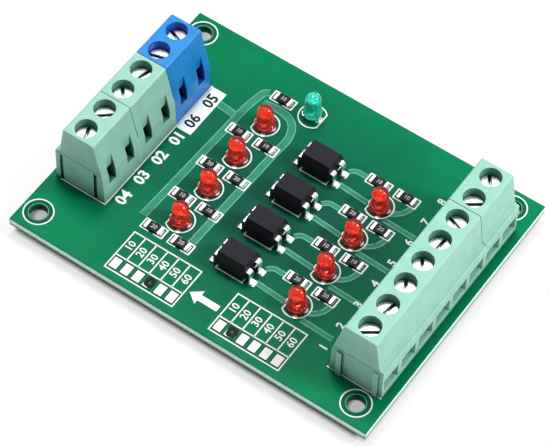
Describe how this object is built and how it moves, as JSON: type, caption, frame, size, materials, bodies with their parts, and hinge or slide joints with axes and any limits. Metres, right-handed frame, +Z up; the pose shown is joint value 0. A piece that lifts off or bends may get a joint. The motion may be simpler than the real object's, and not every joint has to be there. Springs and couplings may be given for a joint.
{
  "type": "plc signal converter module",
  "caption": "Flat circuit module with rows of screw terminals along both short edges, optocouplers, indicator lamps and chip resistors between them.",
  "frame": {"origin": "under the centre of the board, level with the tips of the soldered tails on which the module rests", "axes": "+X along the board's long edge, from the row with the blue block to the longer row; +Y along its short edge, towards the separate lamp; +Z up from the solder side to the component side"},
  "size_m": [0.0716, 0.0546, 0.0176],
  "materials": {
    "solder_mask_green": "glossy green solder mask over glass-epoxy laminate",
    "block_green": "satin pale green moulded plastic",
    "block_blue": "satin blue moulded plastic",
    "nickel_plate": "bright nickel plate on steel",
    "clamp_metal": "zinc-plated steel",
    "tinned_metal": "tin plate",
    "red_lens": "clear red epoxy",
    "green_lens": "clear green epoxy",
    "black_epoxy": "black moulded epoxy",
    "black_ceramic": "black resistor glaze"
  },
  "bodies": {
    "module": {"circuit_board": "solder_mask_green", "left_terminal_housing_1": "block_blue", "left_contacts_1": "tinned_metal", "left_terminal_housing_2": "block_green", "left_contacts_2": "tinned_metal", "left_terminal_housing_3": "block_green", "left_contacts_3": "tinned_metal", "right_terminal_housing_1": "block_green", "right_contacts_1": "tinned_metal", "right_terminal_housing_2": "block_green", "right_contacts_2": "tinned_metal", "left_lamp_1": "red_lens", "left_lamp_2": "red_lens", "left_lamp_3": "red_lens", "left_lamp_4": "red_lens", "right_lamp_1": "red_lens", "right_lamp_2": "red_lens", "right_lamp_3": "red_lens", "right_lamp_4": "red_lens", "power_lamp": "green_lens", "lamp_leads": "tinned_metal", "optocoupler_1": "black_epoxy", "optocoupler_2": "black_epoxy", "optocoupler_3": "black_epoxy", "optocoupler_4": "black_epoxy", "optocoupler_leads": "tinned_metal", "resistor_bodies": "black_ceramic", "resistor_end_caps": "tinned_metal"},
    "left_screw_1": {"left_screw_1": "nickel_plate"},
    "left_clamp_1": {"left_clamp_1": "clamp_metal"},
    "left_screw_2": {"left_screw_2": "nickel_plate"},
    "left_clamp_2": {"left_clamp_2": "clamp_metal"},
    "left_screw_3": {"left_screw_3": "nickel_plate"},
    "left_clamp_3": {"left_clamp_3": "clamp_metal"},
    "left_screw_4": {"left_screw_4": "nickel_plate"},
    "left_clamp_4": {"left_clamp_4": "clamp_metal"},
    "left_screw_5": {"left_screw_5": "nickel_plate"},
    "left_clamp_5": {"left_clamp_5": "clamp_metal"},
    "left_screw_6": {"left_screw_6": "nickel_plate"},
    "left_clamp_6": {"left_clamp_6": "clamp_metal"},
    "right_screw_1": {"right_screw_1": "nickel_plate"},
    "right_clamp_1": {"right_clamp_1": "clamp_metal"},
    "right_screw_2": {"right_screw_2": "nickel_plate"},
    "right_clamp_2": {"right_clamp_2": "clamp_metal"},
    "right_screw_3": {"right_screw_3": "nickel_plate"},
    "right_clamp_3": {"right_clamp_3": "clamp_metal"},
    "right_screw_4": {"right_screw_4": "nickel_plate"},
    "right_clamp_4": {"right_clamp_4": "clamp_metal"},
    "right_screw_5": {"right_screw_5": "nickel_plate"},
    "right_clamp_5": {"right_clamp_5": "clamp_metal"},
    "right_screw_6": {"right_screw_6": "nickel_plate"},
    "right_clamp_6": {"right_clamp_6": "clamp_metal"},
    "right_screw_7": {"right_screw_7": "nickel_plate"},
    "right_clamp_7": {"right_clamp_7": "clamp_metal"},
    "right_screw_8": {"right_screw_8": "nickel_plate"},
    "right_clamp_8": {"right_clamp_8": "clamp_metal"}
  },
  "joints": [
    {"name": "left_screw_1_turn", "type": "hinge", "parent": "module", "child": "left_screw_1", "pos_m": [-0.03005, 0.01246, 0.0157], "axis": [0, 0, 1], "range_deg": [-1980, 0]},
    {"name": "left_clamp_1_rise", "type": "slide", "parent": "module", "child": "left_clamp_1", "axis": [0, 0, 1], "range_m": [0, 0.00248]},
    {"name": "left_screw_2_turn", "type": "hinge", "parent": "module", "child": "left_screw_2", "pos_m": [-0.03005, 0.00738, 0.0157], "axis": [0, 0, 1], "range_deg": [-1980, 0]},
    {"name": "left_clamp_2_rise", "type": "slide", "parent": "module", "child": "left_clamp_2", "axis": [0, 0, 1], "range_m": [0, 0.00248]},
    {"name": "left_screw_3_turn", "type": "hinge", "parent": "module", "child": "left_screw_3", "pos_m": [-0.03005, 0.0023, 0.0157], "axis": [0, 0, 1], "range_deg": [-1980, 0]},
    {"name": "left_clamp_3_rise", "type": "slide", "parent": "module", "child": "left_clamp_3", "axis": [0, 0, 1], "range_m": [0, 0.00248]},
    {"name": "left_screw_4_turn", "type": "hinge", "parent": "module", "child": "left_screw_4", "pos_m": [-0.03005, -0.00278, 0.0157], "axis": [0, 0, 1], "range_deg": [-1980, 0]},
    {"name": "left_clamp_4_rise", "type": "slide", "parent": "module", "child": "left_clamp_4", "axis": [0, 0, 1], "range_m": [0, 0.00248]},
    {"name": "left_screw_5_turn", "type": "hinge", "parent": "module", "child": "left_screw_5", "pos_m": [-0.03005, -0.00786, 0.0157], "axis": [0, 0, 1], "range_deg": [-1980, 0]},
    {"name": "left_clamp_5_rise", "type": "slide", "parent": "module", "child": "left_clamp_5", "axis": [0, 0, 1], "range_m": [0, 0.00248]},
    {"name": "left_screw_6_turn", "type": "hinge", "parent": "module", "child": "left_screw_6", "pos_m": [-0.03005, -0.01294, 0.0157], "axis": [0, 0, 1], "range_deg": [-1980, 0]},
    {"name": "left_clamp_6_rise", "type": "slide", "parent": "module", "child": "left_clamp_6", "axis": [0, 0, 1], "range_m": [0, 0.00248]},
    {"name": "right_screw_1_turn", "type": "hinge", "parent": "module", "child": "right_screw_1", "pos_m": [0.02935, -0.01775, 0.0157], "axis": [0, 0, 1], "range_deg": [-1980, 0]},
    {"name": "right_clamp_1_rise", "type": "slide", "parent": "module", "child": "right_clamp_1", "axis": [0, 0, 1], "range_m": [0, 0.00248]},
    {"name": "right_screw_2_turn", "type": "hinge", "parent": "module", "child": "right_screw_2", "pos_m": [0.02935, -0.01267, 0.0157], "axis": [0, 0, 1], "range_deg": [-1980, 0]},
    {"name": "right_clamp_2_rise", "type": "slide", "parent": "module", "child": "right_clamp_2", "axis": [0, 0, 1], "range_m": [0, 0.00248]},
    {"name": "right_screw_3_turn", "type": "hinge", "parent": "module", "child": "right_screw_3", "pos_m": [0.02935, -0.00759, 0.0157], "axis": [0, 0, 1], "range_deg": [-1980, 0]},
    {"name": "right_clamp_3_rise", "type": "slide", "parent": "module", "child": "right_clamp_3", "axis": [0, 0, 1], "range_m": [0, 0.00248]},
    {"name": "right_screw_4_turn", "type": "hinge", "parent": "module", "child": "right_screw_4", "pos_m": [0.02935, -0.00251, 0.0157], "axis": [0, 0, 1], "range_deg": [-1980, 0]},
    {"name": "right_clamp_4_rise", "type": "slide", "parent": "module", "child": "right_clamp_4", "axis": [0, 0, 1], "range_m": [0, 0.00248]},
    {"name": "right_screw_5_turn", "type": "hinge", "parent": "module", "child": "right_screw_5", "pos_m": [0.02935, 0.00257, 0.0157], "axis": [0, 0, 1], "range_deg": [-1980, 0]},
    {"name": "right_clamp_5_rise", "type": "slide", "parent": "module", "child": "right_clamp_5", "axis": [0, 0, 1], "range_m": [0, 0.00248]},
    {"name": "right_screw_6_turn", "type": "hinge", "parent": "module", "child": "right_screw_6", "pos_m": [0.02935, 0.00765, 0.0157], "axis": [0, 0, 1], "range_deg": [-1980, 0]},
    {"name": "right_clamp_6_rise", "type": "slide", "parent": "module", "child": "right_clamp_6", "axis": [0, 0, 1], "range_m": [0, 0.00248]},
    {"name": "right_screw_7_turn", "type": "hinge", "parent": "module", "child": "right_screw_7", "pos_m": [0.02935, 0.01273, 0.0157], "axis": [0, 0, 1], "range_deg": [-1980, 0]},
    {"name": "right_clamp_7_rise", "type": "slide", "parent": "module", "child": "right_clamp_7", "axis": [0, 0, 1], "range_m": [0, 0.00248]},
    {"name": "right_screw_8_turn", "type": "hinge", "parent": "module", "child": "right_screw_8", "pos_m": [0.02935, 0.01781, 0.0157], "axis": [0, 0, 1], "range_deg": [-1980, 0]},
    {"name": "right_clamp_8_rise", "type": "slide", "parent": "module", "child": "right_clamp_8", "axis": [0, 0, 1], "range_m": [0, 0.00248]}
  ],
  "couplings": [
    {"joint": "left_screw_1_turn", "follows": "left_clamp_1_rise", "rad_per_m": -13963},
    {"joint": "left_screw_2_turn", "follows": "left_clamp_2_rise", "rad_per_m": -13963},
    {"joint": "left_screw_3_turn", "follows": "left_clamp_3_rise", "rad_per_m": -13963},
    {"joint": "left_screw_4_turn", "follows": "left_clamp_4_rise", "rad_per_m": -13963},
    {"joint": "left_screw_5_turn", "follows": "left_clamp_5_rise", "rad_per_m": -13963},
    {"joint": "left_screw_6_turn", "follows": "left_clamp_6_rise", "rad_per_m": -13963},
    {"joint": "right_screw_1_turn", "follows": "right_clamp_1_rise", "rad_per_m": -13963},
    {"joint": "right_screw_2_turn", "follows": "right_clamp_2_rise", "rad_per_m": -13963},
    {"joint": "right_screw_3_turn", "follows": "right_clamp_3_rise", "rad_per_m": -13963},
    {"joint": "right_screw_4_turn", "follows": "right_clamp_4_rise", "rad_per_m": -13963},
    {"joint": "right_screw_5_turn", "follows": "right_clamp_5_rise", "rad_per_m": -13963},
    {"joint": "right_screw_6_turn", "follows": "right_clamp_6_rise", "rad_per_m": -13963},
    {"joint": "right_screw_7_turn", "follows": "right_clamp_7_rise", "rad_per_m": -13963},
    {"joint": "right_screw_8_turn", "follows": "right_clamp_8_rise", "rad_per_m": -13963}
  ]
}
